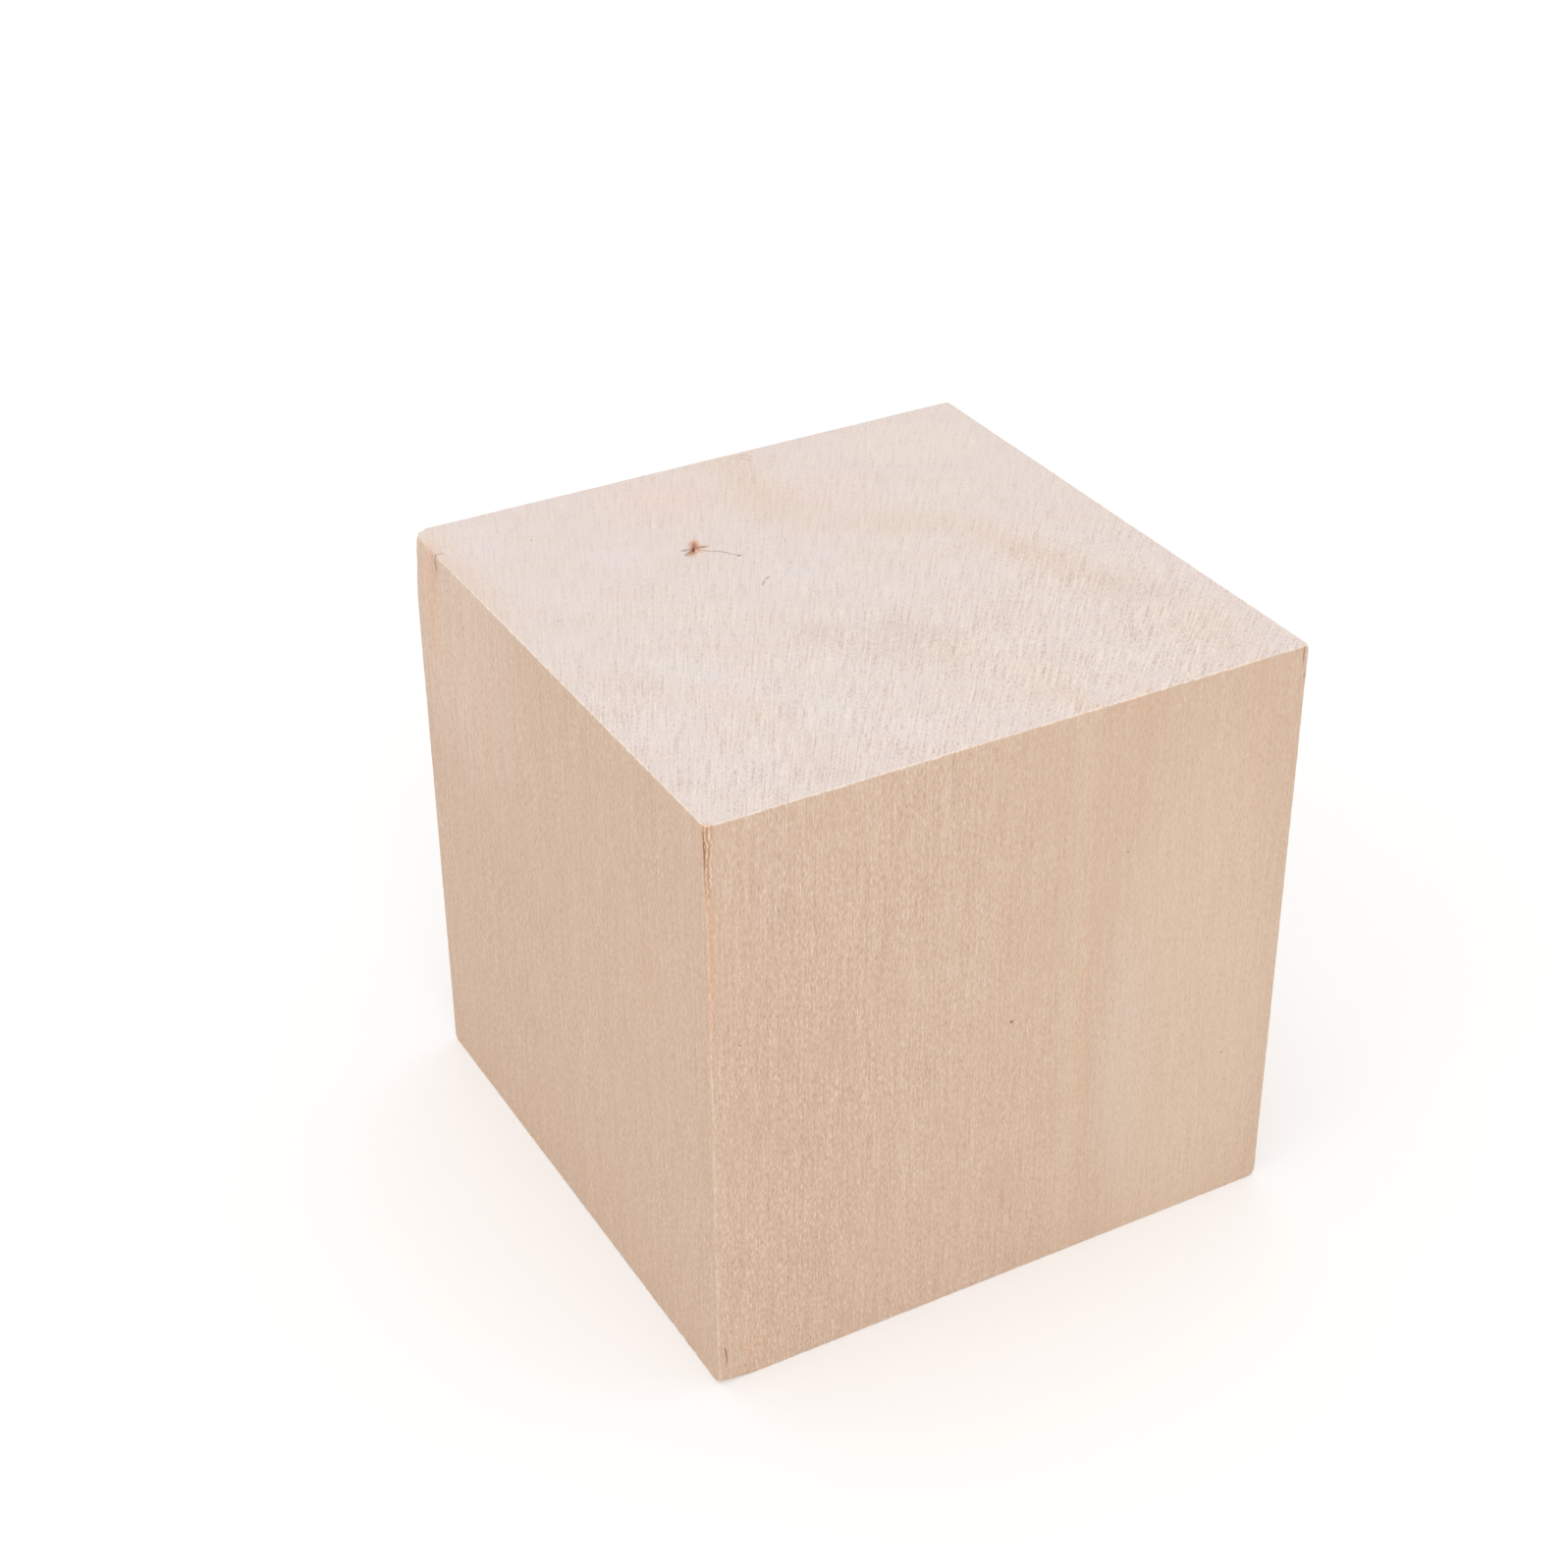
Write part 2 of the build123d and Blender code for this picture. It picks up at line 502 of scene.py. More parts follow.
    def fine_patches(self) -> list[Patch]:
        """The places with small detail: the torn arris, the cracks, the knot and the pin holes."""
        left, front, bottom = self.low
        right, back, top = self.high
        patches = [
            Patch((left, front, top - 20.0), (left + 1.5, front + 1.5, top), (0.09, 0.09, 0.22)),
            Patch((left, front, bottom), (left + 3.1, front, bottom + 9.5), (0.12, 0.0, 0.3)),
            Patch((left, back - 12.0, top - 9.5), (left, back - 6.0, top), (0.0, 0.12, 0.3)),
            Patch((left, back - 12.0, top), (left + 3.1, back - 6.0, top), (0.14, 0.12, 0.0)),
            Patch((right - 2.1, front, top - 6.0), (right, front, top), (0.12, 0.0, 0.3)),
            Patch((left + 31.0, back - 37.0, top), (left + 44.5, back - 22.5, top), (0.13, 0.13, 0.0)),
        ]
        for hole in self.holes:
            reach = self.pitch + hole.radius
            spacing = [0.11, 0.11, 0.11]
            spacing[hole.side.axis] = 0.0
            low = tuple(c - reach for c in hole.centre)
            high = tuple(c + reach for c in hole.centre)
            patches.append(Patch(low, high, tuple(spacing)))
        return patches

    def refine(self, mesh: bmesh.types.BMesh, patch: Patch) -> None:
        """Splits the mesh's edges inside a patch, one axis at a time, down to its spacing.

        Args:
            mesh: The block's mesh, still square.
            patch: Where to split it, and how finely.
        """
        for axis in range(3):
            if not patch.spacing[axis]:
                continue
            by_cuts: dict[int, list[bmesh.types.BMEdge]] = {}
            for edge in mesh.edges:
                start, end = (v.co for v in edge.verts)
                length = abs(end[axis] - start[axis])
                if length < 0.999 * (end - start).length:
                    continue
                cuts = math.ceil(length / patch.spacing[axis] - 0.01) - 1
                if cuts > 0 and patch.holds(start) and patch.holds(end):
                    by_cuts.setdefault(cuts, []).append(edge)
            for cuts, edges in by_cuts.items():
                bmesh.ops.subdivide_edges(mesh, edges=edges, cuts=cuts, use_grid_fill=True)

    # ---------------------------------------------------------------- shaping
    def sawn(self) -> bmesh.types.BMesh:
        """The square block, sawn to size, with its mesh cut ready for the wear.

        Returns:
            The mesh, in millimetres.
        """
        mesh = bmesh.new()
        bmesh.ops.create_cube(mesh, size=1.0)
        bmesh.ops.scale(mesh, vec=self.high - self.low, verts=mesh.verts)
        bmesh.ops.translate(mesh, vec=(self.high + self.low) / 2, verts=mesh.verts)
        for axis in range(3):
            for place in self.stations(axis):
                point, normal = Vector((0.0, 0.0, 0.0)), Vector((0.0, 0.0, 0.0))
                point[axis], normal[axis] = place, 1.0
                everything = mesh.verts[:] + mesh.edges[:] + mesh.faces[:]
                bmesh.ops.bisect_plane(mesh, geom=everything, dist=1e-5, plane_co=point, plane_no=normal)
        for patch in self.fine_patches() + self.arris_strips():
            self.refine(mesh, patch)
        return mesh

    def ease_at(self, point: Vector) -> float:
        """How round the arris beside a point is, in millimetres, nicks included."""
        from_end = min(point.z - self.low.z, self.high.z - point.z)
        ease = self.rim_ease + (self.upright_ease - self.rim_ease) * smooth_step(from_end, 0.4, 2.5)
        slow = wander(point.x * 0.11, point.y * 0.11, point.z * 0.11)
        quick = wander(point.x * 0.9 + 31.0, point.y * 0.9, point.z * 0.5)
        ease *= 1.0 + self.unevenness * (0.6 * slow + 0.7 * quick)
        return max(ease, 0.08) + sum(run.added_ease(point) for run in self.nicks)

    def eased(self, point: Vector) -> tuple[Vector, float]:
        """Rounds the arrises and the corners where they meet.

        Args:
            point: A point on the square block.

        Returns:
            The point on the eased block, and how near the arris it is: 1 on it, 0 where the face is flat.
        """
        ease = self.ease_at(point)
        core = Vector(min(max(p, a + ease), b - ease) for p, a, b in zip(point, self.low, self.high))
        offset = point - core
        insets = sorted(min(p - a, b - p) for p, a, b in zip(point, self.low, self.high))
        nearness = smooth_step(insets[1], ease * 1.15 + 0.04, ease * 0.35)
        from_end = min(point.z - self.low.z, self.high.z - point.z)
        nearness *= smooth_step(from_end, 1.6, 0.3) * (1.0 - self.upright_fuzz_and_highlight) + self.upright_fuzz_and_highlight
        nearness *= smooth_step(ease, 0.85, 0.45)  # where the arris is rubbed away, so are its fuzzy fibres and painted highlight
        if insets[1] >= ease:
            return point.copy(), nearness
        return core + offset.normalized() * ease, nearness

    def shape(self, mesh: bmesh.types.BMesh) -> None:
        """Wears the square block, and notes on each point how fuzzy, gaping or rubbed the wood is there.

        Args:
            mesh: The block's mesh, still square. Every move is inwards, so it stays inside its box.
        """
        # The pale line along the arrises: partly raised fibres, partly a painted highlight.
        fuzz_and_highlight = mesh.verts.layers.float.new("fuzz_and_highlight")
        # Where the cracks, the pin holes and the torn fibres get painted shade.
        gap = mesh.verts.layers.float.new("gap")
        # How rubbed the wood is.
        rub = mesh.verts.layers.float.new("rub")
        for vert in mesh.verts:
            square = vert.co.copy()
            place, vert[fuzz_and_highlight] = self.eased(square)
            for corner in self.corners:
                place, worn = corner.wear(place, self.low, self.high)
                vert[rub] = max(vert[rub], worn)
            place, between, crest = self.torn.tear(place, square, self.low, self.high)
            # The deeper between the torn fibres, the more painted shade and the more orange of rubbed wood.
            vert[gap] = 0.55 * between
            vert[rub] = max(vert[rub], 0.7 * between)
            vert[fuzz_and_highlight] = max(vert[fuzz_and_highlight] * (1.0 - between), 0.8 * crest)
            # How deep a point lies in the cracks and pin holes, which sets the painted shade there.
            for fault in (*self.cracks, *self.holes):
                side, axis = fault.side, fault.side.axis
                surface = self.high[axis] if side.value[axis] > 0 else self.low[axis]
                if abs(square[axis] - surface) < 1e-4:
                    place, deep = fault.open_up(place, square)
                    vert[gap] = max(vert[gap], deep)
                    vert[fuzz_and_highlight] *= 1.0 - 0.8 * deep
            vert.co = place

    def build(self, name: str) -> bpy.types.Object:
        """Saws and wears the block, and brings it to metres.

        Args:
            name: The name of the finished piece.

        Returns:
            The piece, linked to the scene, with smooth shading.
        """
        mesh = self.sawn()
        self.shape(mesh)
        bmesh.ops.triangulate(mesh, faces=[face for face in mesh.faces if len(face.verts) > 4])
        bmesh.ops.recalc_face_normals(mesh, faces=mesh.faces)
        bmesh.ops.scale(mesh, vec=(MM, MM, MM), verts=mesh.verts)
        data = bpy.data.meshes.new(name)
        mesh.to_mesh(data)
        mesh.free()
        data.shade_smooth()
        piece = bpy.data.objects.new(name, data)
        bpy.context.scene.collection.objects.link(piece)
        return piece


# ------------------------------------------------------------------------------- colours and shader nodes
@dataclass(frozen=True)
class Tint:
    """A colour as it is seen, each part from 0 to 255."""

    red: int
    green: int
    blue: int

    @property
    def linear(self) -> tuple[float, float, float, float]:
        """The same colour as light, for a shader."""
        seen = Color((self.red / 255.0, self.green / 255.0, self.blue / 255.0))
        return (*seen.from_srgb_to_scene_linear(), 1.0)


Socket = bpy.types.NodeSocket
Feed = Socket | float | Sequence[float] | Tint


class ShaderGraph:
    """Adds nodes to one material or world and joins them up."""

    def __init__(self, tree: bpy.types.ShaderNodeTree) -> None:
        """Starts from an empty tree.

        Args:
            tree: The node tree of a material or a world.
        """
        self.tree = tree
        tree.nodes.clear()

    def add(self, kind: str, **settings: object) -> bpy.types.Node:
        """Adds a node.

        Args:
            kind: The node's type name.
            settings: Its settings, by name.

        Returns:
            The node.
        """
        node = self.tree.nodes.new(kind)
        for name, value in settings.items():
            setattr(node, name, value)
        return node

    def feed(self, socket: Socket, value: Feed) -> None:
        """Joins an input to another node's output, or sets it to a plain value."""
        if isinstance(value, bpy.types.NodeSocket):
            self.tree.links.new(value, socket)
        elif isinstance(value, Tint):
            socket.default_value = value.linear
        else:
            socket.default_value = value

    def math(self, operation: str, first: Feed, second: Feed = 0.5) -> Socket:
        """Works out one number from two."""
        node = self.add("ShaderNodeMath", operation=operation)
        self.feed(node.inputs[0], first)
        self.feed(node.inputs[1], second)
        return node.outputs[0]

    def vector(self, operation: str, first: Feed, second: Feed = (0.0, 0.0, 0.0)) -> bpy.types.Node:
        """Works out a vector, or a vector's length, from one or two vectors."""
        node = self.add("ShaderNodeVectorMath", operation=operation)
        self.feed(node.inputs[0], first)
        self.feed(node.inputs[1], second)
        return node

    def scaled(self, vector: Feed, factor: float) -> Socket:
        """A vector times a number."""
        node = self.add("ShaderNodeVectorMath", operation="SCALE")
        self.feed(node.inputs[0], vector)
        node.inputs["Scale"].default_value = factor
        return node.outputs[0]

    def joined(self, x: Feed, y: Feed, z: Feed) -> Socket:
        """A vector made of three numbers."""
        node = self.add("ShaderNodeCombineXYZ")
        for socket, value in zip(node.inputs, (x, y, z)):
            self.feed(socket, value)
        return node.outputs[0]

    def noise(self, vector: Feed, detail: float = 2.0, roughness: float = 0.5, scale: float = 1.0) -> Socket:
        """Smooth noise about 0.5 at a place."""
        node = self.add("ShaderNodeTexNoise", noise_dimensions="3D")
        self.feed(node.inputs["Vector"], vector)
        for name, value in (("Scale", scale), ("Detail", detail), ("Roughness", roughness)):
            node.inputs[name].default_value = value
        return node.outputs["Fac"]

    def spread(self, value: Feed, low: float, high: float, first: float = 0.0, last: float = 1.0) -> Socket:
        """Maps a number smoothly from one range to another, and holds it at the ends.

        Args:
            value: The number to map.
            low: Where the range starts. It is less than high.
            high: Where the range ends.
            first: The result at low and below.
            last: The result at high and above.

        Returns:
            The mapped number.
        """
        node = self.add("ShaderNodeMapRange", interpolation_type="SMOOTHSTEP")
        self.feed(node.inputs["Value"], value)
        for name, setting in (("From Min", low), ("From Max", high), ("To Min", first), ("To Max", last)):
            node.inputs[name].default_value = setting
        return node.outputs["Result"]

    def backdrop_ray(self) -> Socket:
        """1 for the rays that see the backdrop: from the camera, or by way of a gloss or a clear body."""
        path = self.add("ShaderNodeLightPath")
        seen = self.math("MAXIMUM", path.outputs["Is Camera Ray"], path.outputs["Is Glossy Ray"])
        return self.math("MAXIMUM", seen, path.outputs["Is Transmission Ray"])

    def between(self, share: Feed, first: Feed, last: Feed) -> Socket:
        """The number that lies that share of the way from the first to the last."""
        node = self.add("ShaderNodeMix", data_type="FLOAT")
        for socket, value in zip((node.inputs[0], node.inputs[2], node.inputs[3]), (share, first, last)):
            self.feed(socket, value)
        return node.outputs[0]

    def blend(self, share: Feed, under: Feed, over: Feed, mode: str = "MIX") -> Socket:
        """Lays one colour over another.

        Args:
            share: How much of the upper colour shows, from 0 to 1.
            under: The colour below.
            over: The colour above.
            mode: How the two mix.

        Returns:
            The mixed colour.
        """
        node = self.add("ShaderNodeMix", data_type="RGBA", blend_type=mode, clamp_factor=True)
        self.feed(node.inputs["Factor"], share)
        self.feed(node.inputs[6], under)
        self.feed(node.inputs[7], over)
        return node.outputs[2]


# ------------------------------------------------------------------------------- the wood's figure
@dataclass(frozen=True)
class StainAndPaintedLight:
    """A soft-edged body of tinted wood inside the block, which shows where a face cuts it; one of them is painted
    light, not a stain.

    Attributes:
        centre: Its middle, in millimetres.
        reach: How far it reaches from its middle along its own three axes.
        tint: Its colour.
        strength: How much of the colour shows at its middle, from 0 to 1.
        turn: How far it is turned about the upright axis, in degrees.
        core: The share of its reach that has the full colour.
        crisp: True for a small mark that keeps its shape; a large stain's edge wanders.
    """

    centre: tuple[float, float, float]
    reach: tuple[float, float, float]
    tint: Tint
    strength: float
    turn: float = 0.0
    core: float = 0.15
    crisp: bool = False


class WoodTints:
    """The tints of bare basswood that the stains use."""

    TAN = Tint(222, 196, 172)
    FAWN = Tint(214, 190, 170)
    GREY_BROWN = Tint(204, 184, 170)
    HONEY = Tint(223, 198, 170)
    ROSE = Tint(233, 205, 190)
    LILAC = Tint(232, 219, 219)
    ICE = Tint(228, 220, 218)
    MOSS = Tint(230, 219, 205)
    RUST = Tint(190, 128, 92)
    UMBER = Tint(140, 86, 66)
    SLATE = Tint(104, 96, 94)
    ORANGE = Tint(222, 168, 128)


def surface_stains_and_light(top: float, front: float, left: float) -> tuple[StainAndPaintedLight, ...]:
    """The broad stains and growth bands, and a patch of painted light on the left side.

    Args:
        top: The height of the top.
        front: The place of the front side along Y.
        left: The place of the left side along X.

    Returns:
        The stains and the painted light, in the order in which they are laid.
    """
    t = WoodTints
    end_grain = (
        # The brownish growth band that winds from the back edge down to the front right.
        StainAndPaintedLight((5.0, 46.0, top), (9.0, 12.0, 30.0), t.TAN, 0.34),
        StainAndPaintedLight((4.0, 33.0, top), (8.0, 14.0, 30.0), t.TAN, 0.37, turn=-15.0),
        StainAndPaintedLight((8.0, 22.0, top), (12.0, 8.0, 30.0), t.TAN, 0.24, turn=-35.0),
        StainAndPaintedLight((19.0, 14.0, top), (12.0, 8.0, 30.0), t.HONEY, 0.29, turn=-30.0),
        StainAndPaintedLight((28.0, 4.0, top), (7.0, 12.0, 30.0), t.HONEY, 0.26, turn=10.0),
        StainAndPaintedLight((32.0, -8.0, top), (8.0, 14.0, 30.0), t.TAN, 0.37, turn=12.0),
        StainAndPaintedLight((36.0, -22.0, top), (9.0, 12.0, 30.0), t.FAWN, 0.29, turn=20.0),
        StainAndPaintedLight((40.0, -38.0, top), (8.0, 13.0, 30.0), t.TAN, 0.24),
        StainAndPaintedLight((-10.0, 40.0, top), (16.0, 12.0, 24.0), t.ROSE, 0.36, turn=-20.0),
        StainAndPaintedLight((13.0, 29.0, top), (12.0, 9.0, 24.0), t.ROSE, 0.28, turn=-40.0),
        # Weathered patches in the front half.
        StainAndPaintedLight((0.0, -19.0, top), (13.0, 10.0, 8.0), t.GREY_BROWN, 0.33, turn=10.0),
        StainAndPaintedLight((-9.5, -11.0, top), (8.0, 6.0, 8.0), t.GREY_BROWN, 0.22, turn=-30.0),
        StainAndPaintedLight((4.0, -26.0, top), (8.0, 8.0, 8.0), t.TAN, 0.24),
        StainAndPaintedLight((17.0, -21.0, top), (8.0, 7.0, 8.0), t.FAWN, 0.22),
        StainAndPaintedLight((10.0, -39.0, top), (7.0, 10.0, 12.0), t.TAN, 0.23),
        StainAndPaintedLight((-42.0, -12.0, top), (7.0, 7.0, 10.0), t.FAWN, 0.23),
        StainAndPaintedLight((-30.0, -25.0, top), (6.0, 14.0, 10.0), t.TAN, 0.20, turn=25.0),
        StainAndPaintedLight((-28.0, -43.0, top), (8.0, 8.0, 10.0), t.FAWN, 0.19),
        # Cool, pale patches.
        StainAndPaintedLight((-33.0, -11.0, top), (6.0, 10.0, 16.0), t.ICE, 0.44, turn=35.0),
        StainAndPaintedLight((-28.0, -20.0, top), (6.0, 8.0, 16.0), t.LILAC, 0.44, turn=30.0),
        StainAndPaintedLight((-20.0, -31.0, top), (9.0, 8.0, 16.0), t.ICE, 0.48, turn=30.0),
        StainAndPaintedLight((-13.0, -41.0, top), (7.0, 7.0, 16.0), t.LILAC, 0.40),
        StainAndPaintedLight((-44.0, -25.0, top), (7.0, 12.0, 16.0), t.LILAC, 0.40),
        StainAndPaintedLight((-40.0, -40.0, top), (10.0, 8.0, 16.0), t.ICE, 0.36),
        StainAndPaintedLight((-26.0, 25.5, top), (9.0, 5.0, 12.0), t.LILAC, 0.48, turn=-25.0),
        StainAndPaintedLight((-38.0, 14.0, top), (5.0, 5.0, 12.0), t.LILAC, 0.28),
        StainAndPaintedLight((-43.0, 40.0, top), (8.0, 10.0, 12.0), t.LILAC, 0.32),
        StainAndPaintedLight((-3.5, 7.0, top), (9.0, 7.0, 12.0), t.ICE, 0.40, turn=-35.0),
        StainAndPaintedLight((3.0, 10.0, top), (5.0, 5.0, 12.0), t.LILAC, 0.28),
        StainAndPaintedLight((5.8, -5.0, top), (5.0, 3.5, 12.0), t.LILAC, 0.40),
        StainAndPaintedLight((36.0, 38.0, top), (16.0, 12.0, 20.0), t.MOSS, 0.50, turn=-20.0),
        StainAndPaintedLight((30.0, 20.0, top), (12.0, 10.0, 20.0), t.MOSS, 0.27),
        StainAndPaintedLight((-23.0, 2.0, top), (6.0, 5.0, 12.0), t.MOSS, 0.27),
        # Spots on the rim.
        StainAndPaintedLight((8.6, 48.3, top), (3.0, 2.0, 3.0), t.RUST, 0.38, core=0.0),
        StainAndPaintedLight((left + 0.1, 42.3, top), (1.3, 2.4, 7.0), t.ORANGE, 0.30, core=0.0, crisp=True),
        StainAndPaintedLight((19.0, front, top), (9.0, 1.6, 2.0), t.ORANGE, 0.45, core=0.0),
        StainAndPaintedLight((left, front, top - 1.0), (2.0, 2.0, 10.0), t.ORANGE, 0.50, core=0.1, crisp=True),
    )
    side_grain = (
        # Growth bands that run down the front side.
        StainAndPaintedLight((11.6, front, 50.0), (2.9, 14.0, 90.0), t.HONEY, 0.34, core=0.55),
        StainAndPaintedLight((13.3, front, 45.0), (1.0, 14.0, 80.0), t.ORANGE, 0.16, core=0.4),
        StainAndPaintedLight((-21.4, front, 72.0), (1.7, 8.0, 44.0), t.ORANGE, 0.14, core=0.3),
        StainAndPaintedLight((-1.6, front, 66.0), (1.6, 6.0, 16.0), t.ORANGE, 0.16, core=0.3),
        StainAndPaintedLight((21.4, front, 88.0), (2.0, 6.0, 20.0), t.ORANGE, 0.14, core=0.3),
        StainAndPaintedLight((41.8, front, 76.0), (2.6, 8.0, 46.0), t.ORANGE, 0.13, core=0.3),
        StainAndPaintedLight((-43.0, front, 82.0), (1.4, 6.0, 18.0), t.ORANGE, 0.13, core=0.3),
        StainAndPaintedLight((-28.0, front, 60.0), (1.5, 6.0, 40.0), t.ORANGE, 0.08, core=0.3),
        StainAndPaintedLight((-49.6, front, 78.0), (1.2, 1.2, 26.0), t.ORANGE, 0.40, core=0.2, crisp=True),
        StainAndPaintedLight((-0.2, front, 15.7), (0.9, 2.0, 4.5), t.RUST, 0.30, core=0.1, crisp=True),
        # Broad patches: the right part of the front paler and its left part darker, and two smaller patches.
        StainAndPaintedLight((33.0, front, 40.0), (20.0, 12.0, 70.0), Tint(224, 199, 174), 0.60, core=0.5),
        StainAndPaintedLight((-38.0, front, 40.0), (22.0, 12.0, 70.0), Tint(210, 178, 153), 0.45, core=0.2),
        StainAndPaintedLight((21.0, front, 34.0), (6.0, 8.0, 34.0), Tint(219, 200, 184), 0.40, core=0.3),
        StainAndPaintedLight((-40.0, front, 88.0), (5.0, 6.0, 12.0), Tint(213, 187, 172), 0.30),
        # The orange patch at the top of the left side, beside the worn arris.
        StainAndPaintedLight((left, 43.2, 90.5), (2.2, 4.2, 14.0), t.ORANGE, 0.85, core=0.3, crisp=True),
        StainAndPaintedLight((left, 41.5, 97.2), (1.0, 1.9, 4.5), t.RUST, 0.60, core=0.1, crisp=True),
        # Painted light, this one: the upper back part of the left side paler, where more light falls on it from the
        # left and from behind.
        StainAndPaintedLight((left, 34.0, 90.0), (6.0, 34.0, 40.0), Tint(228, 204, 186), 0.60, core=0.2),
        # Bands that run down the left side.
        StainAndPaintedLight((left, 24.0, 60.0), (8.0, 3.0, 50.0), t.ORANGE, 0.12),
        StainAndPaintedLight((left, -6.0, 50.0), (8.0, 5.0, 70.0), t.HONEY, 0.16),
        StainAndPaintedLight((left, -30.0, 70.0), (6.0, 2.5, 60.0), t.ORANGE, 0.12),
        # The foot of the front arris.
        StainAndPaintedLight((-44.6, front, 4.5), (2.0, 2.0, 7.0), t.ORANGE, 0.35, core=0.2),
        StainAndPaintedLight((right_of(left), front, top - 5.0), (0.8, 0.8, 1.3), t.SLATE, 0.55, core=0.2, crisp=True),
    )
    return end_grain + side_grain


def right_of(left: float) -> float:
    """The right side's place along X, on a block that stands square about the middle."""
    return -left


def knot_stains(heart: Vector) -> tuple[StainAndPaintedLight, ...]:
    """The colours round the pin knot.

    Args:
        heart: The knot's middle.

    Returns:
        The stains, the wide pale halo first and the dark heart last.
    """
    t = WoodTints

    def spot(x: float, y: float, long: float, wide: float, tint: Tint, strength: float, turn: float = 0.0) -> StainAndPaintedLight:
        """A small mark at that offset from the knot's middle."""
        reach = (long, wide, 1.2)
        return StainAndPaintedLight((heart.x + x, heart.y + y, heart.z), reach, tint, strength, turn, core=0.1, crisp=True)

    return (
        spot(0.6, 1.1, 2.6, 1.8, t.ROSE, 0.75, 60.0),
        spot(1.2, -0.7, 2.2, 1.4, t.ROSE, 0.60, 30.0),
        spot(-0.9, -1.7, 2.0, 1.5, t.ROSE, 0.60, 60.0),
        spot(0.5, 0.85, 2.5, 1.25, t.RUST, 0.85, 60.0),
        spot(-0.8, -1.2, 2.3, 1.15, t.RUST, 0.80, 50.0),
        spot(1.1, -0.2, 2.1, 0.80, t.RUST, 0.70, -16.0),
        spot(0.2, -1.3, 1.3, 0.6, t.ORANGE, 0.7, 100.0),
        spot(0.0, 0.0, 1.30, 0.75, t.UMBER, 0.30, 60.0),
        spot(-0.5, -0.6, 1.4, 0.55, t.UMBER, 0.40, 40.0),
        spot(0.5, 1.0, 1.1, 0.45, t.UMBER, 0.35, 65.0),
        spot(-1.6, 0.0, 0.95, 0.42, t.SLATE, 0.75, 171.0),
        spot(-1.9, -1.4, 1.1, 0.6, t.SLATE, 0.5, 38.0),
        spot(1.4, -0.35, 1.2, 0.4, Tint(150, 120, 90), 0.55, -16.0),
        spot(5.0, -5.7, 0.7, 0.5, t.SLATE, 0.7, -50.0),
        # The hair-like scratch in front of it.
        spot(5.2, -14.5, 1.1, 0.26, Tint(158, 148, 130), 0.85, 33.0),
        spot(3.8, -15.7, 1.4, 0.26, Tint(158, 148, 130), 0.85, 48.0),
    )


@dataclass(frozen=True)
class GrainFigure:
    """Where the tree's middle was, which sets the run of the rays and the growth rings.

    Attributes:
        pith_x: The pith's place along X, in millimetres, outside the block.
        pith_y: Its place along Y.
        ray_width: How wide one ray or vessel line looks.
        ray_length: How long its dashes are on the end grain.
        fibre_width: How wide one line of fibre looks on the sides.
        fibre_length: How long its dashes are along the grain.
    """

    pith_x: float = -142.0
    pith_y: float = -217.0
    ray_width: float = 0.26
    ray_length: float = 0.7
    fibre_width: float = 0.18
    fibre_length: float = 0.95


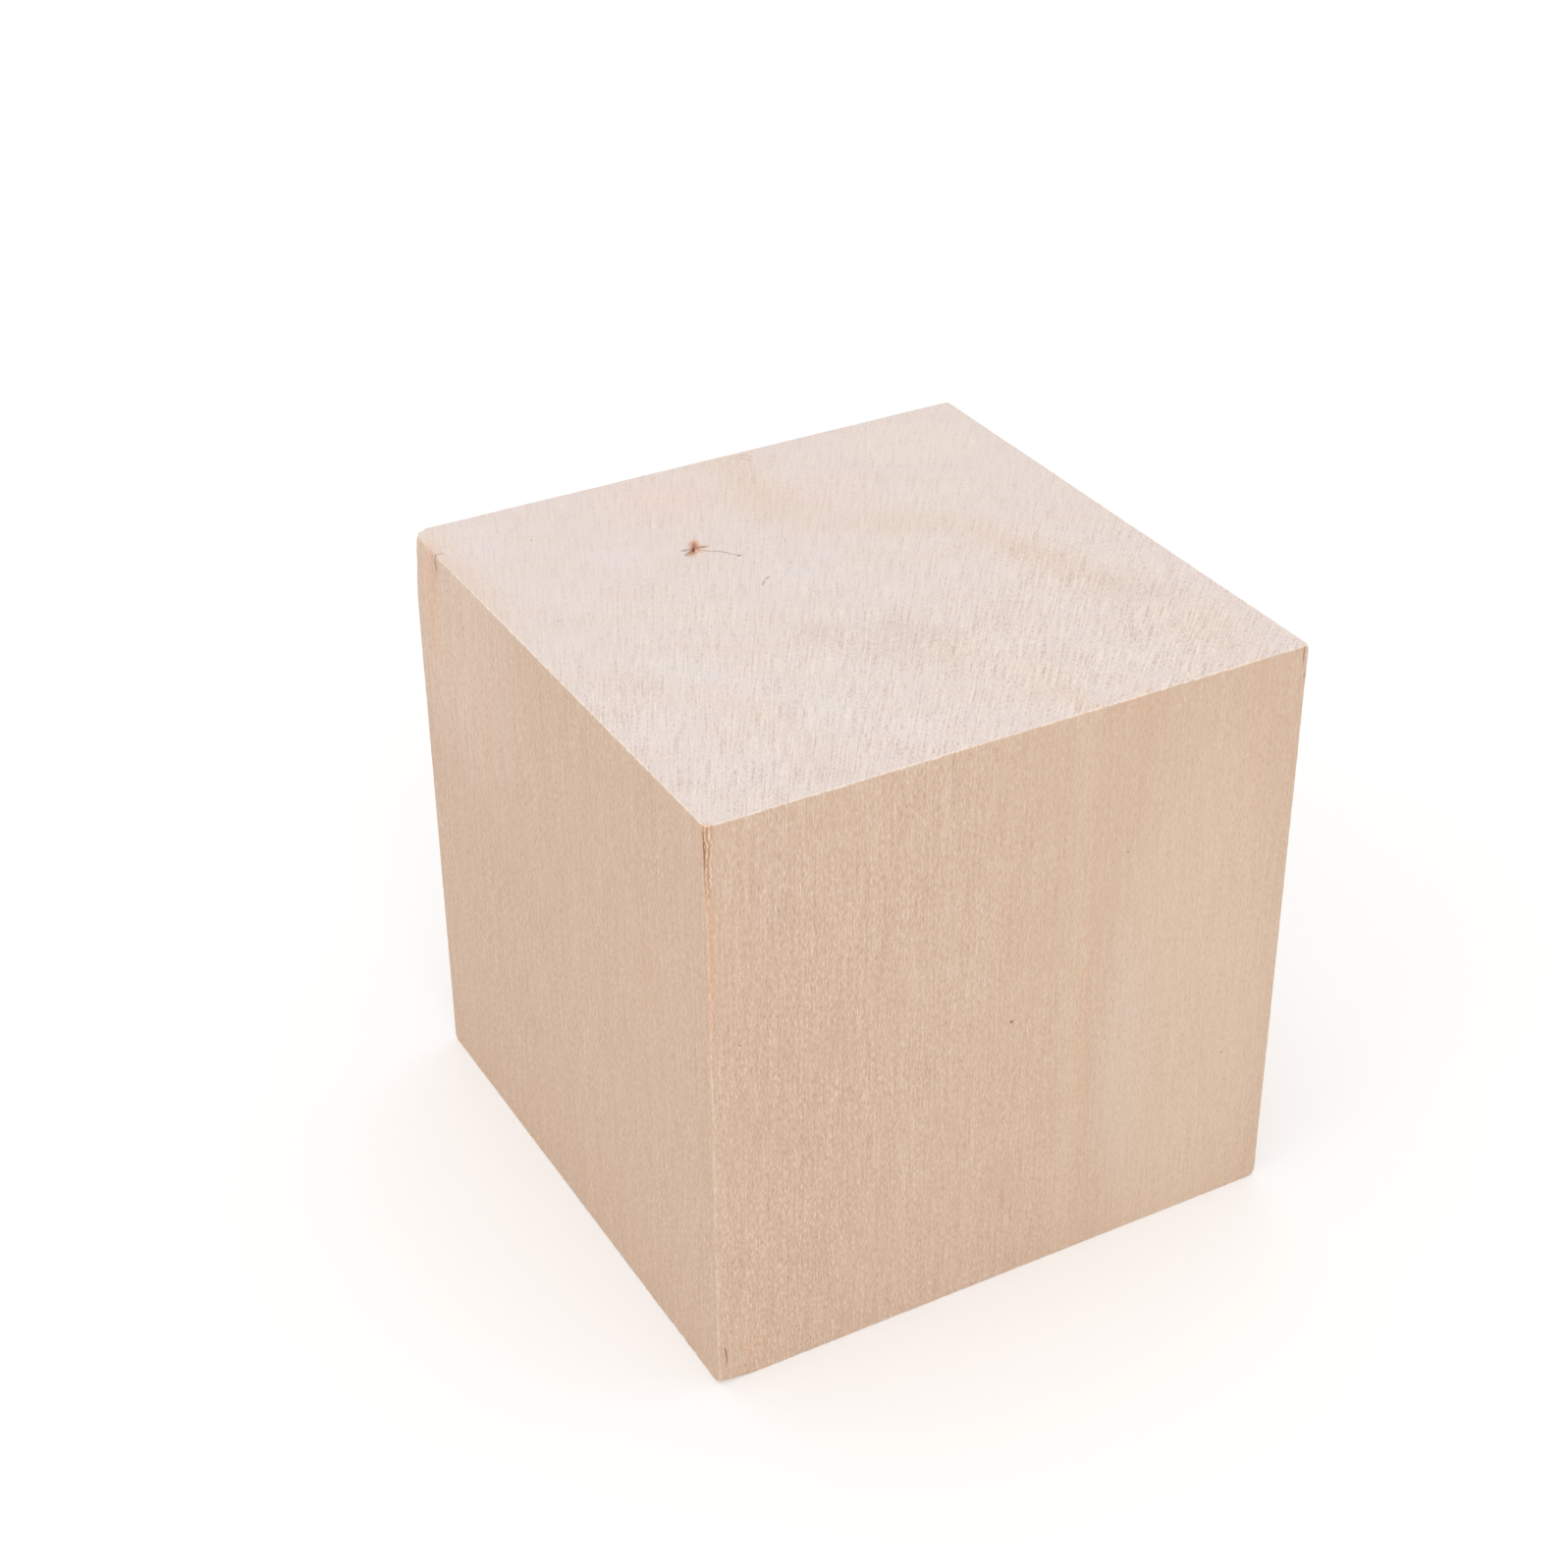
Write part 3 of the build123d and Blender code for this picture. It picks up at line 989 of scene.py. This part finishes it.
@dataclass(frozen=True)
class WoodFinish:
    """Bare, lightly sanded basswood.

    Attributes:
        name: The material's name.
        figure: The run of its rays and rings.
        end_tint: The colour of the end grain.
        side_tint: The colour of the sides.
        pale: The colour of raised fibres, and of the pale line along the arrises, which is partly fuzzy fibres and
            partly a painted highlight.
        dark: The colour of the dark dashes in the grain.
        deep: The painted shade in the cracks, the pin holes and between the torn fibres.
        roughness: How matt it is.
        relief: How far the fibres stand up, in metres.
        stains: Its stains, with one patch of painted light among them, in the order in which they are laid.
    """

    name: str
    figure: GrainFigure
    end_tint: Tint
    side_tint: Tint
    pale: Tint
    dark: Tint
    deep: Tint
    roughness: float
    relief: float
    stains: tuple[StainAndPaintedLight, ...]

    def growth_place(self, graph: ShaderGraph, place: Socket) -> tuple[Socket, Socket, Socket]:
        """Turns a place in the block into one in the tree.

        Args:
            graph: The material's nodes.
            place: The place in the block, in millimetres.

        Returns:
            How far round the tree the place is, how far out from the pith, and how high, in millimetres.
        """
        parts = graph.add("ShaderNodeSeparateXYZ")
        graph.feed(parts.inputs[0], place)
        out_x = graph.math("SUBTRACT", parts.outputs["X"], self.figure.pith_x)
        out_y = graph.math("SUBTRACT", parts.outputs["Y"], self.figure.pith_y)
        angle = graph.math("ARCTAN2", out_y, out_x)
        distance = graph.vector("LENGTH", graph.joined(out_x, out_y, 0.0)).outputs["Value"]
        to_middle = math.hypot(self.figure.pith_x, self.figure.pith_y)
        return graph.math("MULTIPLY", angle, to_middle), distance, parts.outputs["Z"]

    def dashes(self, graph: ShaderGraph, tree_place: Sequence[Socket], size: Sequence[float]) -> Socket:
        """Short dashes of lighter and darker wood.

        Args:
            graph: The material's nodes.
            tree_place: The place in the tree, as growth_place gives it.
            size: How large a dash is round the tree, outwards and along the grain.

        Returns:
            The dashes, about 0.5.
        """
        scaled = [graph.math("DIVIDE", part, length) for part, length in zip(tree_place, size)]
        return graph.noise(graph.joined(*scaled), detail=1.5, roughness=0.6)

    def grain(self, graph: ShaderGraph, place: Socket, tree_place: Sequence[Socket], end_grain: Socket) -> Socket:
        """The fine dashes of the wood: along the rays on the end grain, and upright on the sides.

        Args:
            graph: The material's nodes.
            place: The place in the block, in millimetres.
            tree_place: The place in the tree, as growth_place gives it.
            end_grain: 1 on the end grain and 0 on the sides.

        Returns:
            The dashes, about 0.5: less where the wood is darker and more where it is paler.
        """
        figure = self.figure
        rays = self.dashes(graph, tree_place, (figure.ray_width, figure.ray_length, 3.0))
        lines = self.dashes(graph, tree_place, (figure.ray_width * 1.5, figure.ray_length * 11.0, 9.0))
        speck = graph.noise(graph.scaled(place, 1.0 / figure.fibre_width), detail=1.0)
        across, along = figure.fibre_width, figure.fibre_length
        upright = graph.vector("DIVIDE", place, (across, across, along)).outputs[0]
        fibres = graph.noise(upright, detail=1.5, roughness=0.6)
        drawn_out = graph.vector("DIVIDE", place, (across * 1.6, across * 1.6, along * 9.0)).outputs[0]
        ends = self.weighed(graph, ((rays, 0.46), (lines, 0.44), (speck, 0.10)))
        sides = self.weighed(graph, ((fibres, 0.56), (graph.noise(drawn_out), 0.24), (speck, 0.20)))
        return graph.between(end_grain, sides, ends)

    def texture(self, graph: ShaderGraph, place: Socket, end_grain: Socket) -> Socket:
        """How strongly the fine grain shows: most at the front of the ends, least at their back.

        Args:
            graph: The material's nodes.
            place: The place in the block, in millimetres.
            end_grain: 1 on the end grain and 0 on the sides.

        Returns:
            The strength of the grain, from 0 to 1.
        """
        parts = graph.add("ShaderNodeSeparateXYZ")
        graph.feed(parts.inputs[0], place)
        sides = graph.spread(parts.outputs["X"], -25.0, 25.0, 1.0, 0.58)
        ends = graph.spread(parts.outputs["Y"], -45.0, 32.0, 1.0, 0.42)
        return graph.between(end_grain, sides, ends)

    def weighed(self, graph: ShaderGraph, layers: Sequence[tuple[Socket, float]]) -> Socket:
        """Adds up layers of noise, each with its weight.

        Args:
            graph: The material's nodes.
            layers: Each layer and its weight. The weights add up to 1.

        Returns:
            The sum.
        """
        total, weight = layers[0]
        total = graph.math("MULTIPLY", total, weight)
        for layer, weight in layers[1:]:
            total = graph.math("ADD", total, graph.math("MULTIPLY", layer, weight))
        return total

    def stained(self, graph: ShaderGraph, colour: Socket, place: Socket) -> Socket:
        """Lays the stains, and the one patch of painted light, over a colour.

        Args:
            graph: The material's nodes.
            colour: The colour before them.
            place: The place in the block, in millimetres.

        Returns:
            The stained colour.
        """
        drift = graph.add("ShaderNodeTexNoise", noise_dimensions="3D")
        graph.feed(drift.inputs["Vector"], graph.scaled(place, 0.16))
        drift.inputs["Detail"].default_value = 2.0
        centred = graph.vector("SUBTRACT", drift.outputs["Color"], (0.5, 0.5, 0.5)).outputs[0]
        wandering = graph.vector("ADD", place, graph.vector("MULTIPLY", centred, (7.0, 7.0, 20.0)).outputs[0])
        for stain in self.stains:
            own = graph.add("ShaderNodeMapping", vector_type="TEXTURE")
            graph.feed(own.inputs["Vector"], place if stain.crisp else wandering.outputs[0])
            own.inputs["Location"].default_value = stain.centre
            own.inputs["Rotation"].default_value = (0.0, 0.0, math.radians(stain.turn))
            own.inputs["Scale"].default_value = stain.reach
            away = graph.vector("LENGTH", own.outputs[0]).outputs["Value"]
            share = graph.spread(away, stain.core, 1.0, stain.strength, 0.0)
            colour = graph.blend(share, colour, stain.tint)
        return colour

    def material(self) -> bpy.types.Material:
        """Builds the finish as shader nodes.

        Returns:
            The material.
        """
        made = bpy.data.materials.new(self.name)
        made.use_nodes = True
        graph = ShaderGraph(made.node_tree)
        coordinates = graph.add("ShaderNodeTexCoord")
        place = graph.scaled(coordinates.outputs["Object"], 1.0 / MM)
        tree_place = self.growth_place(graph, place)
        normal = graph.add("ShaderNodeSeparateXYZ")
        graph.feed(normal.inputs[0], coordinates.outputs["Normal"])
        end_grain = graph.spread(graph.math("ABSOLUTE", normal.outputs["Z"]), 0.45, 0.85)

        signal = self.grain(graph, place, tree_place, end_grain)
        patches = graph.noise(graph.scaled(place, 1.0 / 15.0), detail=2.0)
        bands = self.dashes(graph, tree_place, (22.0, 3.4, 120.0))

        colour = graph.blend(end_grain, self.side_tint, self.end_tint)
        colour = graph.blend(graph.spread(bands, 0.42, 0.78, 0.0, 0.14), colour, WoodTints.TAN)
        colour = self.stained(graph, colour, place)

        # Dark and light dashes, stronger in some patches than in others.
        busy = graph.math("MULTIPLY", graph.spread(patches, 0.35, 0.65, 0.75, 1.0), self.texture(graph, place, end_grain))
        dark = graph.math("MULTIPLY", graph.spread(signal, 0.34, 0.50, 1.0, 0.0), busy)
        light = graph.math("MULTIPLY", graph.spread(signal, 0.50, 0.66), busy)
        colour = graph.blend(graph.math("MULTIPLY", dark, graph.between(end_grain, 0.64, 0.54)), colour, self.dark)
        colour = graph.blend(graph.math("MULTIPLY", light, graph.between(end_grain, 0.56, 0.88)), colour, self.pale)

        # What the wear shows, with painted light: a pale line on the arrises, partly fuzzy fibres and partly a painted
        # highlight, rubbed corners, and painted shade in the gaps.
        fuzz_and_highlight = graph.add("ShaderNodeAttribute", attribute_name="fuzz_and_highlight").outputs["Fac"]
        rub = graph.add("ShaderNodeAttribute", attribute_name="rub").outputs["Fac"]
        gap = graph.add("ShaderNodeAttribute", attribute_name="gap").outputs["Fac"]
        broken = graph.spread(graph.noise(graph.scaled(place, 1.0 / 0.9), detail=2.0), 0.42, 0.62, 0.15, 0.70)
        colour = graph.blend(graph.math("MULTIPLY", rub, 0.45), colour, WoodTints.ORANGE)
        # Partly a painted highlight: the pale line along the arrises and on the crests of the torn fibres, besides
        # their raised fibres.
        colour = graph.blend(graph.math("MULTIPLY", fuzz_and_highlight, broken), colour, self.pale)
        # Painted shade: the deep colour laid into the cracks, the pin holes and between the torn fibres.
        colour = graph.blend(graph.math("MULTIPLY", gap, 0.80), colour, self.deep)

        shader = graph.add("ShaderNodeBsdfPrincipled")
        graph.feed(shader.inputs["Base Color"], colour)
        graph.feed(shader.inputs["Roughness"], graph.spread(signal, 0.3, 0.7, self.roughness + 0.06, self.roughness - 0.06))
        shader.inputs["IOR"].default_value = 1.45
        shader.inputs["Specular IOR Level"].default_value = 0.3
        bump = graph.add("ShaderNodeBump")
        bump.inputs["Distance"].default_value = self.relief
        bump.inputs["Strength"].default_value = 0.6
        graph.feed(bump.inputs["Height"], graph.math("MULTIPLY", signal, busy))
        graph.feed(shader.inputs["Normal"], bump.outputs[0])
        output = graph.add("ShaderNodeOutputMaterial")
        graph.feed(output.inputs["Surface"], shader.outputs[0])
        return made


# ------------------------------------------------------------------------------- the studio
@dataclass(frozen=True)
class FloorFinish:
    """A plain pale floor that keeps the block's shadow.

    Attributes:
        tint: The floor's own colour.
        lift: How much plain white is added where the camera sees it.
        far_lift: The same, far from the block, where the floor runs out into the background.
        fade: Where it starts to run out and where it has, as distances from the block in metres.
    """

    tint: Tint = Tint(238, 238, 238)
    lift: float = 0.18
    far_lift: float = 0.6
    fade: tuple[float, float] = (0.5, 2.2)

    def material(self) -> bpy.types.Material:
        """Builds the floor's finish.

        Returns:
            The material.
        """
        made = bpy.data.materials.new("pale_floor")
        made.use_nodes = True
        graph = ShaderGraph(made.node_tree)
        matt = graph.add("ShaderNodeBsdfDiffuse")
        graph.feed(matt.inputs["Color"], self.tint)
        glow = graph.add("ShaderNodeEmission")
        place = graph.add("ShaderNodeTexCoord").outputs["Object"]
        away = graph.vector("LENGTH", place).outputs["Value"]
        lift = graph.spread(away, *self.fade, self.lift, self.far_lift)
        graph.feed(glow.inputs["Strength"], graph.math("MULTIPLY", graph.backdrop_ray(), lift))
        both = graph.add("ShaderNodeAddShader")
        graph.feed(both.inputs[0], matt.outputs[0])
        graph.feed(both.inputs[1], glow.outputs[0])
        output = graph.add("ShaderNodeOutputMaterial")
        graph.feed(output.inputs["Surface"], both.outputs[0])
        return made


@dataclass(frozen=True)
class SoftLamp:
    """A large soft lamp that points at the block.

    Attributes:
        name: The lamp's name.
        place: Where it stands, in metres.
        size: How wide it is.
        power: Its power in watts.
    """

    name: str
    place: tuple[float, float, float]
    size: float
    power: float

    def hang(self, aim: Vector) -> bpy.types.Object:
        """Adds the lamp to the scene.

        Args:
            aim: The point that it shines at.

        Returns:
            The lamp.
        """
        data = bpy.data.lights.new(self.name, "AREA")
        data.shape = "DISK"
        data.size = self.size
        data.energy = self.power
        lamp = bpy.data.objects.new(self.name, data)
        lamp.location = self.place
        lamp.rotation_euler = (Vector(self.place) - aim).to_track_quat("Z", "Y").to_euler()
        bpy.context.scene.collection.objects.link(lamp)
        return lamp


@dataclass
class Studio:
    """The floor, the light and the camera.

    Attributes:
        floor_size: How wide the floor is, in metres.
        world_level: How bright the surroundings are for everything but the camera.
        lamps: The soft lamps.
        eye: The camera's place, in metres.
        aim: The point at the middle of its view.
        roll: How far it is rolled, in degrees.
        lens: Its focal length on a 36 mm sensor.
    """

    floor_size: float = 6.0
    world_level: float = 0.80
    lamps: tuple[SoftLamp, ...] = (
        SoftLamp("ceiling_softbox", (0.05, 0.10, 1.30), 1.2, 2.4),
        SoftLamp("front_softbox", (-0.45, -1.20, 0.70), 1.2, 3.9),
        SoftLamp("left_softbox", (-1.30, -0.20, 0.80), 1.2, 1.7),
    )
    eye: tuple[float, float, float] = (-0.188877, -0.324837, 0.297909)
    aim: tuple[float, float, float] = (-0.004966, 0.010152, 0.060477)
    roll: float = -0.53
    lens: float = 63.8

    def lay_floor(self) -> bpy.types.Object:
        """Lays the floor under the block.

        Returns:
            The floor.
        """
        mesh = bmesh.new()
        bmesh.ops.create_grid(mesh, x_segments=1, y_segments=1, size=self.floor_size / 2)
        data = bpy.data.meshes.new("floor")
        mesh.to_mesh(data)
        mesh.free()
        floor = bpy.data.objects.new("floor", data)
        data.materials.append(FloorFinish().material())
        bpy.context.scene.collection.objects.link(floor)
        return floor

    def light_world(self) -> bpy.types.World:
        """Surrounds the block with even light. The camera sees plain white.

        Returns:
            The world.
        """
        world = bpy.data.worlds.new("even_light")
        bpy.context.scene.world = world
        world.use_nodes = True
        graph = ShaderGraph(world.node_tree)
        level = graph.spread(graph.backdrop_ray(), 0.0, 1.0, self.world_level, 1.0)
        sky = graph.add("ShaderNodeBackground")
        sky.inputs["Color"].default_value = (1.0, 1.0, 1.0, 1.0)
        graph.feed(sky.inputs["Strength"], level)
        output = graph.add("ShaderNodeOutputWorld")
        graph.feed(output.inputs["Surface"], sky.outputs[0])
        return world

    def set_camera(self) -> bpy.types.Object:
        """Stands the camera at its place.

        Returns:
            The camera.
        """
        data = bpy.data.cameras.new("camera")
        data.sensor_width = 36.0
        data.lens = self.lens
        data.clip_start = 0.01
        camera = bpy.data.objects.new("camera", data)
        turn = (Vector(self.eye) - Vector(self.aim)).to_track_quat("Z", "Y").to_matrix()
        rolled = turn @ Matrix.Rotation(math.radians(self.roll), 3, "Z")
        camera.matrix_world = Matrix.LocRotScale(Vector(self.eye), rolled.to_quaternion(), None)
        bpy.context.scene.collection.objects.link(camera)
        bpy.context.scene.camera = camera
        return camera

    def set_up(self, aim: Vector) -> None:
        """Sets up the whole studio.

        Args:
            aim: The point that the lamps shine at.
        """
        self.lay_floor()
        self.light_world()
        for lamp in self.lamps:
            lamp.hang(aim)
        self.set_camera()
        bpy.context.scene.view_settings.view_transform = "Standard"


# ------------------------------------------------------------------------------- the cube
@dataclass
class WoodenCube:
    """The finished cube: the worn block in its bare wood.

    Attributes:
        node: The part that it stands for in the frame.
        body: The body that it moves with.
        slot: The material slot that its finish would come from. It is not used.
    """

    node: str = "wooden_cube"
    body: str = "root"
    slot: str = "bare_wood"

    def finish(self, block: WoodBlock) -> WoodFinish:
        """The wood of this block.

        Args:
            block: The block, whose faces the stains lie on.

        Returns:
            The finish.
        """
        heart = Vector((block.low.x + 36.1, block.high.y - 27.5, block.high.z))
        stains = surface_stains_and_light(block.high.z, block.low.y, block.low.x) + knot_stains(heart)
        return WoodFinish(
            name="bare_basswood",
            figure=GrainFigure(),
            end_tint=Tint(228, 214, 207),
            side_tint=Tint(215, 186, 163),
            pale=Tint(247, 230, 213),
            dark=Tint(180, 145, 121),
            deep=Tint(140, 88, 60),
            roughness=0.72,
            relief=0.00004,
            stains=stains,
        )

    def build(self) -> bpy.types.Object:
        """Builds the cube and fixes it to the frame.

        Returns:
            The piece.
        """
        low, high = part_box(self.node)
        block = WoodBlock(low / MM, high / MM)
        piece = block.build("worn_block")
        piece.data.materials.append(self.finish(block).material())
        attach(piece, self.body)
        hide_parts(self.node)
        triangles = sum(len(face.vertices) - 2 for face in piece.data.polygons)
        log.info("%s: %d points, %d triangles", piece.name, len(piece.data.vertices), triangles)
        return piece


def main() -> None:
    """Builds the cube and its studio."""
    logging.basicConfig(level=logging.INFO, format="%(name)s %(message)s")
    WoodenCube().build()
    Studio().set_up((cad_low + cad_high) / 2)


if __name__ == "__main__":
    main()
